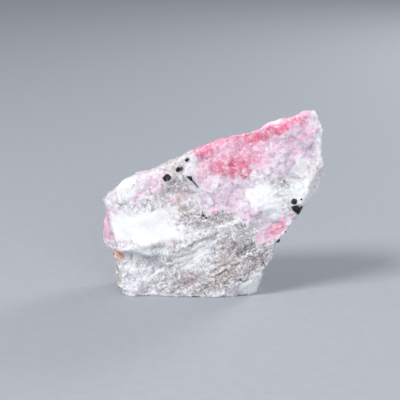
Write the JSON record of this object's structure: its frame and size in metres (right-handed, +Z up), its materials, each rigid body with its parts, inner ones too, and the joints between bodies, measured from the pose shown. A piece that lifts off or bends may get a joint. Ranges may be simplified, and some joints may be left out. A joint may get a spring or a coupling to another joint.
{
  "type": "tugtupite specimen",
  "caption": "Rough broken piece of pink and white tugtupite rock with black crystals set in it, standing on a flat break.",
  "frame": {"origin": "on the flat break that the piece rests on, below the middle of its outline", "axes": "+Z up as the piece stands, +X to the right along its length, -Y out of its broad front face"},
  "size_m": [0.048, 0.0217, 0.0401],
  "materials": {
    "tugtupite_rock": "rough sugary break, pink and white",
    "black_crystal": "glossy crystal faces"
  },
  "bodies": {
    "root": {"stone": "tugtupite_rock", "black_crystal_upper_left": "black_crystal", "black_crystal_upper_middle": "black_crystal", "black_crystal_top_edge": "black_crystal", "black_crystal_blade": "black_crystal", "black_crystal_cluster": "black_crystal", "black_crystal_right": "black_crystal", "black_crystal_bead": "black_crystal", "black_crystal_back_high": "black_crystal", "black_crystal_back_middle": "black_crystal", "black_crystal_back_low": "black_crystal"}
  },
  "joints": []
}
